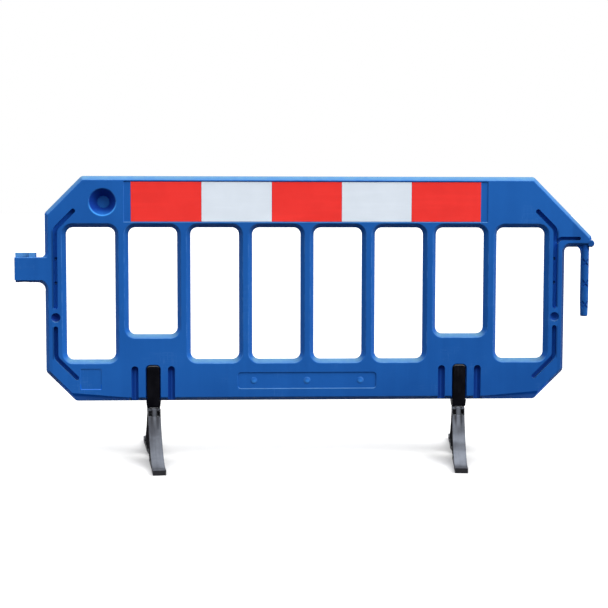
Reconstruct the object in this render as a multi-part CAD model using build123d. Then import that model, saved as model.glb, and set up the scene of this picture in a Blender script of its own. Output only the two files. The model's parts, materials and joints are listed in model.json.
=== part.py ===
from build123d import *
import os

# Pedestrian road barrier: a blow-moulded panel on two swivelling feet.
# Frame: X along the panel, Y away from the viewer, Z up, origin on the ground under the middle.

# Panel outline, at the parting line that runs round the middle of its thickness
panel_length = 1850.0
barrier_height = 1000.0
toe_height = 204.0
panel_thickness = 50.0
top_corner_cut = 130.0
bottom_corner_cut = 104.0
corner_round = 18.0

# Draft of every edge, from the parting line in to the flat of each face
bevel_inset = 13.0
seam_width = 3.0
edge_round = 4.0

# Windows: eight upright openings, the second from each end shorter to leave room for a foot
window_count = 8
end_post = 73.05
window_bar = 45.7
top_rail = 179.0
bottom_rail = 147.0
short_sill_rise = 89.5
window_corner = 25.0

# Linking hook at the right end and socket lug at the left end
link_reach = 75.0
peg_diameter = 30.0
peg_length = 250.0
peg_taper_length = 60.0
peg_tip_diameter = 26.0
peg_tip_round = 4.0
peg_root_diameter = 33.0
peg_root_length = 22.0
peg_gusset_round = 18.0
peg_gusset_thickness = 16.0
peg_cross_count = 3
peg_cross_drop = 56.0
peg_cross_spacing = 76.0
peg_cross_length = 34.0
peg_cross_width = 6.0
peg_cross_depth = 6.5
peg_cross_slant = 40.0
arm_drop = 248.0
nose_reach = 30.0
nose_height = 36.0
nose_round = 18.0
knob_diameter = 26.0
knob_thickness = 44.0
knob_round = 5.0
knob_rise = 12.0
knob_lead = 7.0
hook_throat_round = 16.0
link_play = 3.0
lug_drop = 270.0
lug_height = 104.0
lug_outer_reach = 30.0
lug_inner_reach = 42.0
lug_round = 17.0
lug_plate_height = 80.0
lug_sleeve_wall = 4.0
lug_edge_round = 2.5
neck_drop = 15.0
neck_top_round = 16.0
neck_bottom_round = 27.0

# Reflective sheeting: a row of tiles in a shallow recess on each face
tile_names = ["red_left", "white_left", "red_middle", "white_right", "red_right"]
tile_width = 248.0
tile_height = 140.0
tile_thickness = 1.0
tile_gap = 0.5
band_drop = 89.0
band_shift = -2.0
band_depth = 3.5
band_end_margin = 26.0
band_edge_margin = 3.0

# Conical lamp seat at the upper left of the front
dish_from_end = 204.0
dish_drop = 90.0
dish_diameter = 96.0
dish_floor_diameter = 42.0
dish_depth = 43.0
dish_round = 4.0

# Stiffening grooves up both end posts, with a round dimple between their two runs
groove_inset = 37.5
groove_width = 16.0
groove_depth = 18.0
groove_corner = 5.0
groove_bend = 30.0
groove_shoulder_drop = 185.5
groove_shoulder_run = 64.0
groove_gap = 76.0
groove_elbow_rise = 156.0
groove_tail_run = 72.0
dimple_share = 0.312
dimple_diameter = 34.0
dimple_depth = 16.0
groove_dot_drop = 290.0
groove_dot_spacing = 86.0
groove_dot_diameter = 10.0
groove_dot_depth = 4.0
arm_groove_width = 13.0
arm_groove_rise = 30.0
arm_groove_run = 18.0
arm_groove_end = 27.0
arm_groove_bend = 12.0

# Sides of the shallow recesses lean outwards by this much
recess_slope = 2.5

# Toe board: long shallow recess with three bosses
toe_recess_length = 496.0
toe_recess_height = 60.0
toe_recess_rise = 42.0
toe_recess_depth = 3.5
toe_recess_corner = 12.0
toe_boss_spacing = 190.0
toe_boss_count = 3
toe_boss_diameter = 25.0
toe_boss_height = 3.5

# The toe board's bevel grows towards both ends of the panel
toe_wedge_start = 630.0
toe_wedge_rise = 29.0

# Plain square recess at the lower left of the front
plate_size = 75.0
plate_from_end = 159.0
plate_rise = 79.0
plate_depth = 2.0
plate_corner = 4.0

# Slots in the toe board that take the pivot blocks, and the grooves beside them
slot_width = 54.0
slot_corner = 17.0
slot_rise = 130.0
slot_web = 24.0
side_groove_offset = 64.5
side_groove_width = 25.0
side_groove_rise = 125.0
side_groove_depth = 18.0

# Pivot block: a fork over the web of the slot
block_gap = 4.0
block_setback = 1.5
block_edge_round = 5.0
block_neck_height = 24.0
block_neck_width = 51.0
block_foot_width = 46.0
block_foot_depth = 40.0
fork_clearance = 0.2
screw_diameter = 6.0
screw_head_diameter = 12.0
screw_head_height = 4.0
screw_hole_clearance = 0.1
screw_bite = 7.0
screw_low_rise = 36.0
screw_spacing = 44.0

# Swivel: bolt, washers and nut
hex_sides = 6
bolt_diameter = 12.0
bolt_head_flats = 19.0
bolt_head_height = 7.5
bolt_thread_end = 4.0
bolt_hole_clearance = 0.1
head_pocket_clearance = 0.3
head_pocket_depth = 9.0
swivel_washer_diameter = 36.0
swivel_washer_thickness = 3.0
bolt_washer_diameter = 24.0
bolt_washer_thickness = 2.5
nut_flats = 19.0
nut_height = 12.0
running_clearance = 0.05
swivel_gap = 0.2

# Foot: a ribbed moulding that carries the panel across the path
foot_length = 690.0
foot_width = 44.0
foot_waist = 45.0
foot_base_waist = 22.0
foot_sag = 26.0
foot_top_length = 92.0
foot_top_plate = 5.0
foot_pocket_height = 20.0
foot_pocket_wall = 3.0
foot_flange = 8.0
foot_base = 16.0
foot_arch = 4.0
foot_pad_length = 85.0
foot_toe_height = 17.0
foot_toe_land = 60.0
foot_web = 17.0
foot_boss_diameter = 42.0
foot_boss_height = 62.0
foot_window_length = 76.0
foot_hollow_end = 115.0
foot_rib = 6.0
foot_rib_count = 2
left_foot_angle = 6.3
right_foot_angle = -6.8

# Sides of the panel, as signs along Y
front = -1
rear = 1

# Places worked out from the sizes above
half_length = panel_length / 2
half_thickness = panel_thickness / 2
link_x = half_length + link_reach
nose_x = link_x + nose_reach
arm_end_x = nose_x - knob_lead
arm_z = barrier_height - arm_drop
nose_top_z = arm_z + nose_height
lug_outer_x = -link_x - lug_outer_reach
lug_inner_x = -link_x + lug_inner_reach
lug_top_z = barrier_height - lug_drop
lug_bottom_z = lug_top_z - lug_height
neck_top_z = lug_top_z - neck_drop
socket_radius = peg_diameter / 2 + link_play
window_width = (panel_length - 2 * end_post - (window_count - 1) * window_bar) / window_count
window_pitch = window_width + window_bar
head_z = barrier_height - top_rail
sill_z = toe_height + bottom_rail
foot_x = ((window_count - 1) / 2 - 1) * window_pitch
tile_count = len(tile_names)
band_z = barrier_height - band_drop
slot_top_z = toe_height + slot_rise
block_top_z = slot_top_z - block_gap
block_width = slot_width - 2 * block_gap
block_corner = slot_corner - block_gap
block_half_depth = half_thickness - block_setback
block_bottom_z = toe_height - block_neck_height
foot_top_height = block_bottom_z - swivel_washer_thickness - swivel_gap
fork_width = slot_web + 2 * fork_clearance
bolt_head_z = toe_height - head_pocket_depth
boss_bottom_z = foot_top_height - foot_boss_height
washer_top_z = boss_bottom_z - swivel_gap
nut_top_z = washer_top_z - bolt_washer_thickness
nut_bottom_z = nut_top_z - nut_height
groove_x = half_length - groove_inset
groove_shoulder_z = barrier_height - groove_shoulder_drop
groove_elbow_z = toe_height + groove_elbow_rise
dimple_z = groove_elbow_z + dimple_share * (groove_shoulder_z - groove_elbow_z)
foot_half = foot_length / 2
foot_shelf_z = foot_top_height - foot_top_plate - foot_pocket_height


# Upright tool: a sketch in the XZ plane pushed through a stretch of Y
def upright(sketch, y_from, y_to):
    return extrude(Plane.XZ.offset(-y_from) * sketch, amount=y_from - y_to)


# Round bar between two points on one axis parallel to Y
def bar_along_y(x, z, radius, y_from, y_to):
    return upright(Pos(x, z) * Circle(radius), y_from, y_to)


def bar_along_z(x, radius, z_from, z_to):
    return Pos(x, 0, z_from) * extrude(Circle(radius), amount=z_to - z_from)


def hex_along_z(x, flats, z_from, z_to):
    hexagon = RegularPolygon(flats / 2, hex_sides, major_radius=False)
    return Pos(x, 0, z_from) * extrude(hexagon, amount=z_to - z_from)


# The face of a panel that looks straight along -Y or +Y, furthest out
def outer_face(solid, side):
    return solid.faces().sort_by(Axis.Y)[0 if side == front else -1]


def corner_at(sketch, x, z):
    return sketch.vertices().sort_by_distance((x, z, 0))[0]


def panel_outline():
    corners = {
        (-half_length + bottom_corner_cut, toe_height): corner_round,
        (half_length - bottom_corner_cut, toe_height): corner_round,
        (half_length, toe_height + bottom_corner_cut): corner_round,
        (half_length, arm_z): hook_throat_round,
        (arm_end_x, arm_z): nose_round,
        (arm_end_x, nose_top_z): nose_round,
        (arm_end_x - (barrier_height - nose_top_z), barrier_height): corner_round,
        (-half_length + top_corner_cut, barrier_height): corner_round,
        (-half_length, barrier_height - top_corner_cut): corner_round,
        (-half_length, neck_top_z): neck_top_round,
        (lug_outer_x, neck_top_z): lug_round,
        (lug_outer_x, lug_bottom_z): lug_round,
        (-half_length, lug_bottom_z): neck_bottom_round,
        (-half_length, toe_height + bottom_corner_cut): corner_round,
    }
    outline = make_face(Polyline(*corners, close=True))
    for (x, z), radius in corners.items():
        outline = fillet(corner_at(outline, x, z), radius)
    return outline


def window_sketch(index):
    is_short = index in (1, window_count - 2)
    sill = sill_z + (short_sill_rise if is_short else 0)
    x = (index - (window_count - 1) / 2) * window_pitch
    return Pos(x, (head_z + sill) / 2) * RectangleRounded(window_width, head_z - sill, window_corner)


# Moulded blank: the outline with its windows, drafted from the parting line to both faces
def panel_blank():
    sketch = panel_outline()
    for index in range(window_count):
        sketch -= window_sketch(index)
    blank = extrude(Plane.XZ * sketch, amount=half_thickness, both=True)
    bevel_depth = (panel_thickness - seam_width) / 2
    for side in (front, rear):
        face = outer_face(blank, side)
        blank = chamfer(face.edges(), bevel_inset, bevel_depth, reference=face)
    for side in (front, rear):
        blank = fillet(outer_face(blank, side).edges(), edge_round)
    return blank


# Radius of the ball that leaves a mark of this width and depth on a flat face
def mark_radius(width, depth):
    return (width ** 2 / 4 + depth ** 2) / (2 * depth)


# Groove on a face, along a run of points, with round ends and soft corners along its floor
def face_groove(points, bend, width, depth, side):
    line = FilletPolyline(*points, radius=bend) if bend else Polyline(*points)
    plan = trace(line, line_width=width)
    for end in (line @ 0, line @ 1):
        plan += Pos(end.X, end.Y) * Circle(width / 2)
    floor_y = side * (half_thickness - depth)
    groove = upright(plan, floor_y, side * (half_thickness + width))
    floor_edges = groove.edges().group_by(Axis.Y)[-1 if side == front else 0]
    return fillet(floor_edges, groove_corner)


def post_grooves(hand, side):
    upper = [
        (hand * (groove_x - groove_shoulder_run), groove_shoulder_z + groove_shoulder_run),
        (hand * groove_x, groove_shoulder_z),
        (hand * groove_x, dimple_z + groove_gap / 2),
    ]
    lower = [
        (hand * groove_x, dimple_z - groove_gap / 2),
        (hand * groove_x, groove_elbow_z),
        (hand * (groove_x - groove_tail_run), groove_elbow_z - groove_tail_run),
    ]
    return [face_groove(run, groove_bend, groove_width, groove_depth, side) for run in (upper, lower)]


def arm_groove(side):
    rise_z = arm_z + arm_groove_rise
    points = [
        (groove_x, rise_z - arm_groove_run),
        (groove_x + arm_groove_run, rise_z),
        (link_x - arm_groove_end, rise_z),
    ]
    return face_groove(points, arm_groove_bend, arm_groove_width, groove_depth, side)


def face_ball(x, z, width, depth, face_y, side):
    radius = mark_radius(width, depth)
    return Pos(x, face_y + side * (radius - depth), z) * Sphere(radius)


# Shallow recess with leaning sides, from its rounded or square mouth on a face
def leaning_recess(x, z, length, height, corner, depth, side):
    levels = []
    for shrink, level in ((2 * recess_slope, half_thickness - depth), (0, half_thickness)):
        outline = Rectangle(length - shrink, height - shrink)
        if corner:
            outline = RectangleRounded(length - shrink, height - shrink, corner - shrink / 2)
        levels.append(Plane.XZ.offset(-side * level) * Pos(x, z) * outline)
    return loft(levels, ruled=True)


def band_recess(side):
    length = tile_count * tile_width + 2 * band_end_margin
    height = tile_height + 2 * band_edge_margin
    return leaning_recess(band_shift, band_z, length, height, 0, band_depth, side)


def toe_recess(side):
    z = toe_height + toe_recess_rise + toe_recess_height / 2
    length, height = toe_recess_length, toe_recess_height
    return leaning_recess(0, z, length, height, toe_recess_corner, toe_recess_depth, side)


# Low domes on the floor of the toe board's recess
def toe_bosses(side):
    z = toe_height + toe_recess_rise + toe_recess_height / 2
    floor_y = side * (half_thickness - toe_recess_depth)
    middle = (toe_boss_count - 1) / 2
    bosses = []
    for index in range(toe_boss_count):
        x = (index - middle) * toe_boss_spacing
        ball = face_ball(x, z, toe_boss_diameter, toe_boss_height, floor_y, -side)
        bosses.append(ball & bar_along_y(x, z, toe_boss_diameter / 2, 0, floor_y + side * toe_boss_height))
    return bosses


# Upright tongue: straight sides and rounded shoulders
def tongue_sketch(width, bottom, top, corner):
    sketch = Pos(0, bottom) * Rectangle(width, top - bottom, align=(Align.CENTER, Align.MIN))
    return fillet(sketch.vertices().group_by(Axis.Y)[-1], corner)


def block_slot(x, side):
    sketch = Pos(x, 0) * tongue_sketch(slot_width, toe_height - bevel_inset, slot_top_z, slot_corner)
    return upright(sketch, side * slot_web / 2, side * half_thickness)


def slot_side_groove(x, side):
    top_z = toe_height + side_groove_rise - side_groove_width / 2
    points = [(x, toe_height - bevel_inset), (x, top_z)]
    return face_groove(points, 0, side_groove_width, side_groove_depth, side)


def lamp_dish():
    rim = dish_diameter / 2
    floor = dish_floor_diameter / 2
    cone = Cone(floor, rim, dish_depth, align=(Align.CENTER, Align.CENTER, Align.MIN))
    floor_centre = Pos(dish_from_end - half_length, dish_depth - half_thickness, barrier_height - dish_drop)
    return floor_centre * Rot(90, 0, 0) * cone


# Rounded lip where the dish meets the front face
def round_dish_lip(panel):
    centre = (dish_from_end - half_length, -half_thickness, barrier_height - dish_drop)
    rims = outer_face(panel, front).edges().filter_by(GeomType.CIRCLE)
    rim = [edge for edge in rims if (edge.arc_center - Vector(*centre)).length < dish_round]
    return fillet(rim, dish_round)


# Shallow bare square on the front of the toe board
def plain_plate():
    x = plate_from_end - half_length
    z = toe_height + plate_rise
    return leaning_recess(x, z, plate_size, plate_size, plate_corner, plate_depth, front)


# Wedge that deepens the lower bevel towards one end, on one face
def toe_wedge(hand, side):
    seam_y = side * seam_width / 2
    face_y = side * (half_thickness + seam_width)
    slope = bevel_inset / (half_thickness - seam_width / 2)
    reach = half_thickness + seam_width / 2
    sections = []
    for x, rise in ((toe_wedge_start, 0), (half_length, toe_wedge_rise)):
        top_z = toe_height + reach * slope + rise
        points = [(seam_y, toe_height), (face_y, top_z), (face_y, toe_height - seam_width)]
        sections.append(Plane.YZ.offset(hand * x) * make_face(Polyline(*points, close=True)))
    return loft(sections, ruled=True)


def screw_heights():
    low = toe_height + screw_low_rise
    return [low, low + screw_spacing]


# Hanging peg: a turned form with a tapered tip, and a tapered root that is buried in the arm
def link_peg():
    tip_z = arm_z - peg_length
    profile = make_face(Polyline(
        (0, tip_z),
        (peg_tip_diameter / 2, tip_z),
        (peg_diameter / 2, tip_z + peg_taper_length),
        (peg_diameter / 2, arm_z - peg_root_length),
        (peg_root_diameter / 2, nose_top_z),
        (0, nose_top_z),
        close=True,
    ))
    profile = fillet(corner_at(profile, peg_tip_diameter / 2, tip_z), peg_tip_round)
    return Pos(link_x, 0, 0) * revolve(Plane.XZ * profile, Axis.Z)


# Round knob at the end of the arm
def link_knob():
    radius = knob_diameter / 2
    half_knob = knob_thickness / 2
    knob = bar_along_y(nose_x - radius, arm_z + knob_rise, radius, -half_knob, half_knob)
    return fillet(knob.edges().filter_by(GeomType.CIRCLE), knob_round)


# Quarter-round gusset in the throat, between the arm and the peg's root
def peg_gusset():
    corner = Pos(link_x - peg_diameter / 2, arm_z)
    square = Rectangle(peg_gusset_round, peg_gusset_round, align=(Align.MAX, Align.MAX))
    quarter = square - Pos(-peg_gusset_round, -peg_gusset_round) * Circle(peg_gusset_round)
    core_width = peg_gusset_round + peg_diameter / 2
    into_arm = Pos(-peg_gusset_round) * Rectangle(core_width, nose_height / 2, align=Align.MIN)
    into_peg = Rectangle(peg_diameter / 2, peg_root_length, align=(Align.MIN, Align.MAX))
    sketch = corner * (quarter + into_arm + into_peg)
    return upright(sketch, -peg_gusset_thickness / 2, peg_gusset_thickness / 2)


# Crossed nicks down the front and the rear of the peg
def peg_crosses(side):
    nick = Box(peg_cross_width, 2 * peg_cross_depth, peg_cross_length)
    nicks = []
    for index in range(peg_cross_count):
        z = arm_z - peg_cross_drop - index * peg_cross_spacing
        for slant in (-peg_cross_slant, peg_cross_slant):
            nicks.append(Pos(link_x, side * peg_diameter / 2, z) * Rot(0, slant, 0) * nick)
    return nicks


# Front of the lug: a plate flush with the panel's face, level with the top of the neck
def lug_plate():
    length = link_x + lug_outer_reach - half_length + bevel_inset
    plate = Pos(lug_outer_x, -half_thickness, neck_top_z) * Box(
        length, half_thickness, lug_plate_height, align=(Align.MIN, Align.MIN, Align.MAX))
    upper = plate.edges().filter_by(Axis.X).sort_by(Axis.Y)[:2].sort_by(Axis.Z)[-1]
    outer = plate.edges().filter_by(Axis.Z).sort_by(Axis.Y)[:2].sort_by(Axis.X)[0]
    return fillet([upper, outer], lug_edge_round)


# Back of the lug: the wall of the socket, which stands taller than the plate
def lug_sleeve():
    depth = socket_radius + lug_sleeve_wall
    length = lug_inner_x - lug_outer_x
    sleeve = Pos(lug_outer_x, 0, lug_bottom_z) * Box(length, depth, lug_height, align=Align.MIN)
    return fillet(sleeve.edges().group_by(Axis.Y)[-1], lug_edge_round)


def make_panel():
    panel = panel_blank() + link_peg() + link_knob() + peg_gusset() + lug_plate() + lug_sleeve()
    panel -= bar_along_z(-link_x, socket_radius, lug_bottom_z, lug_top_z)
    panel = round_dish_lip(panel - lamp_dish())
    cuts = [plain_plate()]
    bosses = []
    dot_z = barrier_height - groove_dot_drop
    for side in (front, rear):
        face_y = side * half_thickness
        groove_floor_y = side * (half_thickness - groove_depth)
        cuts += [band_recess(side), toe_recess(side), arm_groove(side)]
        cuts += peg_crosses(side)
        bosses += toe_bosses(side)
        for hand in (-1, 1):
            cuts += post_grooves(hand, side)
            x = hand * groove_x
            cuts.append(face_ball(x, dimple_z, dimple_diameter, dimple_depth, face_y, side))
            for z in (dot_z, dot_z - groove_dot_spacing):
                cuts.append(face_ball(x, z, groove_dot_diameter, groove_dot_depth, groove_floor_y, side))
            cuts.append(toe_wedge(hand, side))
            cuts.append(block_slot(hand * foot_x, side))
            for offset in (-side_groove_offset, side_groove_offset):
                cuts.append(slot_side_groove(hand * foot_x + offset, side))
    panel -= cuts
    panel += bosses
    hole = screw_diameter / 2 + screw_hole_clearance
    for hand in (-1, 1):
        for z in screw_heights():
            panel -= bar_along_y(hand * foot_x, z, hole, -half_thickness, half_thickness)
    return panel


# One tile of the sheeting, bedded on the floor of its recess
def make_tile(index, side):
    x = band_shift + (index - (tile_count - 1) / 2) * tile_width
    floor_y = side * (half_thickness - band_depth)
    sketch = Pos(x, band_z) * Rectangle(tile_width - tile_gap, tile_height)
    return upright(sketch, floor_y, floor_y + side * tile_thickness)


# Fork over the slot's web, with a tapered neck below the panel and a pocket for the bolt's head
def make_block(x):
    sketch = tongue_sketch(block_width, toe_height, block_top_z, block_corner)
    tongue = upright(sketch, -block_half_depth, block_half_depth)
    outer_edges = tongue.edges().group_by(Axis.Y)[0] + tongue.edges().group_by(Axis.Y)[-1]
    upper_edges = [edge for edge in outer_edges if edge.center().Z > toe_height]
    tongue = fillet(upper_edges, block_edge_round)
    gap_height = block_top_z - toe_height
    tongue -= Pos(0, 0, toe_height + gap_height / 2) * Box(block_width, fork_width, gap_height)
    neck_top = Pos(0, 0, toe_height) * Rectangle(block_neck_width, 2 * block_half_depth)
    neck_bottom = Pos(0, 0, block_bottom_z) * Rectangle(block_foot_width, block_foot_depth)
    block = tongue + loft([neck_bottom, neck_top], ruled=True)
    block -= hex_along_z(0, bolt_head_flats + 2 * head_pocket_clearance, bolt_head_z, toe_height)
    block -= bar_along_z(0, bolt_diameter / 2 + bolt_hole_clearance, block_bottom_z, toe_height)
    hole = screw_diameter / 2 + screw_hole_clearance
    head_hole = screw_head_diameter / 2 + screw_hole_clearance
    for z in screw_heights():
        block -= bar_along_y(0, z, hole, -fork_width / 2 - screw_bite, block_half_depth)
        block -= bar_along_y(0, z, head_hole, block_half_depth - screw_head_height, block_half_depth)
    return Pos(x, 0, 0) * block


# Two flush screws from the rear, through the web and into the front tine
def make_block_screws(x):
    screws = []
    for z in screw_heights():
        seat_y = block_half_depth - screw_head_height
        shank = bar_along_y(x, z, screw_diameter / 2, -fork_width / 2 - screw_bite, seat_y)
        head = bar_along_y(x, z, screw_head_diameter / 2, seat_y, block_half_depth)
        screws.append(shank + head)
    return screws


def make_swivel_washer(x):
    bottom_z = block_bottom_z - swivel_washer_thickness
    disc = bar_along_z(x, swivel_washer_diameter / 2, bottom_z, block_bottom_z)
    return disc - bar_along_z(x, bolt_diameter / 2 + bolt_hole_clearance, 0, barrier_height)


def make_bolt(x):
    head = hex_along_z(x, bolt_head_flats, bolt_head_z, bolt_head_z + bolt_head_height)
    return head + bar_along_z(x, bolt_diameter / 2, nut_bottom_z - bolt_thread_end, bolt_head_z)


def make_bolt_washer(x):
    disc = bar_along_z(x, bolt_washer_diameter / 2, nut_top_z, washer_top_z)
    return disc - bar_along_z(x, bolt_diameter / 2 + bolt_hole_clearance, 0, barrier_height)


def make_nut(x):
    nut = hex_along_z(x, nut_flats, nut_bottom_z, nut_top_z)
    return nut - bar_along_z(x, bolt_diameter / 2 + bolt_hole_clearance, 0, barrier_height)


# Side view of the foot: a hollow-backed wedge under a flat top, standing on a pad at each end
def foot_side():
    shoulder_y = foot_top_length / 2
    pad_y = foot_half - foot_pad_length
    shelf = (shoulder_y, foot_shelf_z)
    toe = (foot_half - foot_toe_land, foot_toe_height)
    top = Polyline((0, foot_top_height), (shoulder_y, foot_top_height), shelf)
    slope = SagittaArc(shelf, toe, -foot_sag)
    pad = Polyline(toe, (foot_half, foot_toe_height), (foot_half, 0), (pad_y, 0), (pad_y, foot_arch))
    arch = Polyline((pad_y, foot_arch), (0, foot_arch), (0, foot_top_height))
    half = make_face([top, slope, pad, arch])
    return half + mirror(half, Plane.YZ)


# Hollows in each flank: the side view less its flanges, base and ribs
def flank_hollows(side_view):
    hollow_end = foot_half - foot_hollow_end
    ceiling = foot_shelf_z - foot_flange
    on_floor = (Align.CENTER, Align.MIN)
    field = Pos(0, foot_base) * Rectangle(2 * hollow_end, ceiling - foot_base, align=on_floor)
    hollows = offset(side_view, -foot_flange) & field
    bay = hollow_end / (foot_rib_count + 1)
    for index in range(foot_rib_count):
        for y in (-(index + 1) * bay, (index + 1) * bay):
            hollows -= Pos(y, foot_base) * Rectangle(foot_rib, ceiling, align=on_floor)
    return hollows


def make_foot(x, angle):
    side_view = foot_side()
    foot = extrude(Plane.YZ * side_view, amount=foot_width / 2, both=True)
    plan = make_face(Polyline(
        (-foot_waist / 2, 0),
        (-foot_width / 2, -foot_half),
        (foot_width / 2, -foot_half),
        (foot_waist / 2, 0),
        (foot_width / 2, foot_half),
        (-foot_width / 2, foot_half),
        close=True,
    ))
    foot &= extrude(plan, amount=foot_top_height)
    for hand in (-1, 1):
        nick = make_face(Polyline(
            (hand * foot_width, -foot_half + foot_pad_length),
            (hand * foot_base_waist / 2, 0),
            (hand * foot_width, foot_half - foot_pad_length),
            close=True,
        ))
        foot -= extrude(nick, amount=foot_base)
    hollows = Plane.YZ * flank_hollows(side_view)
    foot -= Pos(foot_web / 2, 0, 0) * extrude(hollows, amount=foot_width)
    foot -= Pos(-foot_web / 2, 0, 0) * extrude(hollows, amount=-foot_width)
    pocket_width = (foot_width - foot_web) / 2 - foot_pocket_wall
    pocket = Box(
        pocket_width, foot_top_length, foot_pocket_height, align=(Align.CENTER, Align.CENTER, Align.MIN))
    for hand in (-1, 1):
        foot -= Pos(hand * (foot_web + pocket_width) / 2, 0, foot_shelf_z) * pocket
    access_height = boss_bottom_z - foot_base
    foot -= Pos(0, 0, foot_base + access_height / 2) * Box(foot_width, foot_window_length, access_height)
    foot += bar_along_z(0, foot_boss_diameter / 2, boss_bottom_z, foot_top_height)
    foot -= bar_along_z(0, bolt_diameter / 2 + running_clearance, boss_bottom_z, foot_top_height)
    return Pos(x, 0, 0) * Rot(0, 0, angle) * foot


os.makedirs("parts", exist_ok=True)
export_step(make_panel(), "parts/panel.step")

for side_name, side in (("front", front), ("rear", rear)):
    for index, tile_name in enumerate(tile_names):
        export_step(make_tile(index, side), f"parts/{side_name}_tile_{tile_name}.step")

for hand_name, x, angle in (("left", -foot_x, left_foot_angle), ("right", foot_x, right_foot_angle)):
    export_step(make_block(x), f"parts/{hand_name}_pivot_block.step")
    export_step(Compound(make_block_screws(x)), f"parts/{hand_name}_block_screws.step")
    export_step(make_swivel_washer(x), f"parts/{hand_name}_swivel_washer.step")
    export_step(make_bolt(x), f"parts/{hand_name}_pivot_bolt.step")
    export_step(make_bolt_washer(x), f"parts/{hand_name}_bolt_washer.step")
    export_step(make_nut(x), f"parts/{hand_name}_lock_nut.step")
    export_step(make_foot(x, angle), f"parts/{hand_name}_foot.step")
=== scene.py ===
import json
import math

import bpy
import numpy as np
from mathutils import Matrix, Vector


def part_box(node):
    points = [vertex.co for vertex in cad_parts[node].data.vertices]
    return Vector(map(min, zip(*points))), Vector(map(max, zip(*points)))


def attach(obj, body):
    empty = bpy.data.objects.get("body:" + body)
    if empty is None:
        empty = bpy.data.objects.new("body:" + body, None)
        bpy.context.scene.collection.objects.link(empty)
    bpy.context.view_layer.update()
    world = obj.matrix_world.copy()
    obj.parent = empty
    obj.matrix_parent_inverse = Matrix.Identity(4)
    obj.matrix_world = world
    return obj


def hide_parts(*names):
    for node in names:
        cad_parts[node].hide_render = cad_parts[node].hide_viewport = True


# Looks of a blue road barrier: finishes for the moulded panel, sheeting, blocks and feet,
# and finer fasteners, sheeting and parting line than the solids have.

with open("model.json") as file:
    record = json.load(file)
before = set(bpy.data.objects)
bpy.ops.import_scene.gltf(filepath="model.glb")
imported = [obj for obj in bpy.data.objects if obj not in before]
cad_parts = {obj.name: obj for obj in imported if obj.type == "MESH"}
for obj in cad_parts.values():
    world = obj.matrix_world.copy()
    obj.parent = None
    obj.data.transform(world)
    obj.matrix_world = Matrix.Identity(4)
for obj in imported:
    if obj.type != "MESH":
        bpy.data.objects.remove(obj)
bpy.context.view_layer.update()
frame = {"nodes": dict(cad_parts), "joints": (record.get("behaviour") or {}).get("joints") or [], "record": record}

# Driving places, from the frame: the panel's box, the link's peg and socket, the lamp dish and the swivels
hands = ("left", "right")
panelLow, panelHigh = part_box("panel")
faceY, toeZ, topZ = panelHigh.y, panelLow.z, panelHigh.z
mounts = {mount["name"]: mount for mount in frame["record"]["mounts"]}
linkX, pegZ = mounts["link_peg"]["pos_m"][::2]
pegRadius, pegLength = [mounts["link_peg"]["dims"][key] / 1000 for key in ("r_mm", "length_mm")]
socketX, socketZ = mounts["link_socket"]["pos_m"][::2]
hookReach = 0.075  # from the outer edge of an end post to the link's axis
endX = linkX - hookReach
openings = {opening["name"]: opening["box_m"] for opening in frame["record"]["physics"]["openings"]}
dishX, dishZ = [sum(ends) / 2 for ends in zip(*openings["lamp_dish_floor"])][::2]
joints = {joint["name"]: joint for joint in frame["joints"]}
swivels = [joints[hand + "_foot_swivel"] for hand in hands]
swivelX = swivels[1]["pos_m"][0]
restTurns = [-sum(swivel["range_deg"]) / 2 for swivel in swivels]  # how far each foot stands off square

# Widths over which masks fade, in metres
hair, fine, crisp, soft, broad = 0.0002, 0.0008, 0.002, 0.004, 0.010


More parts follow.
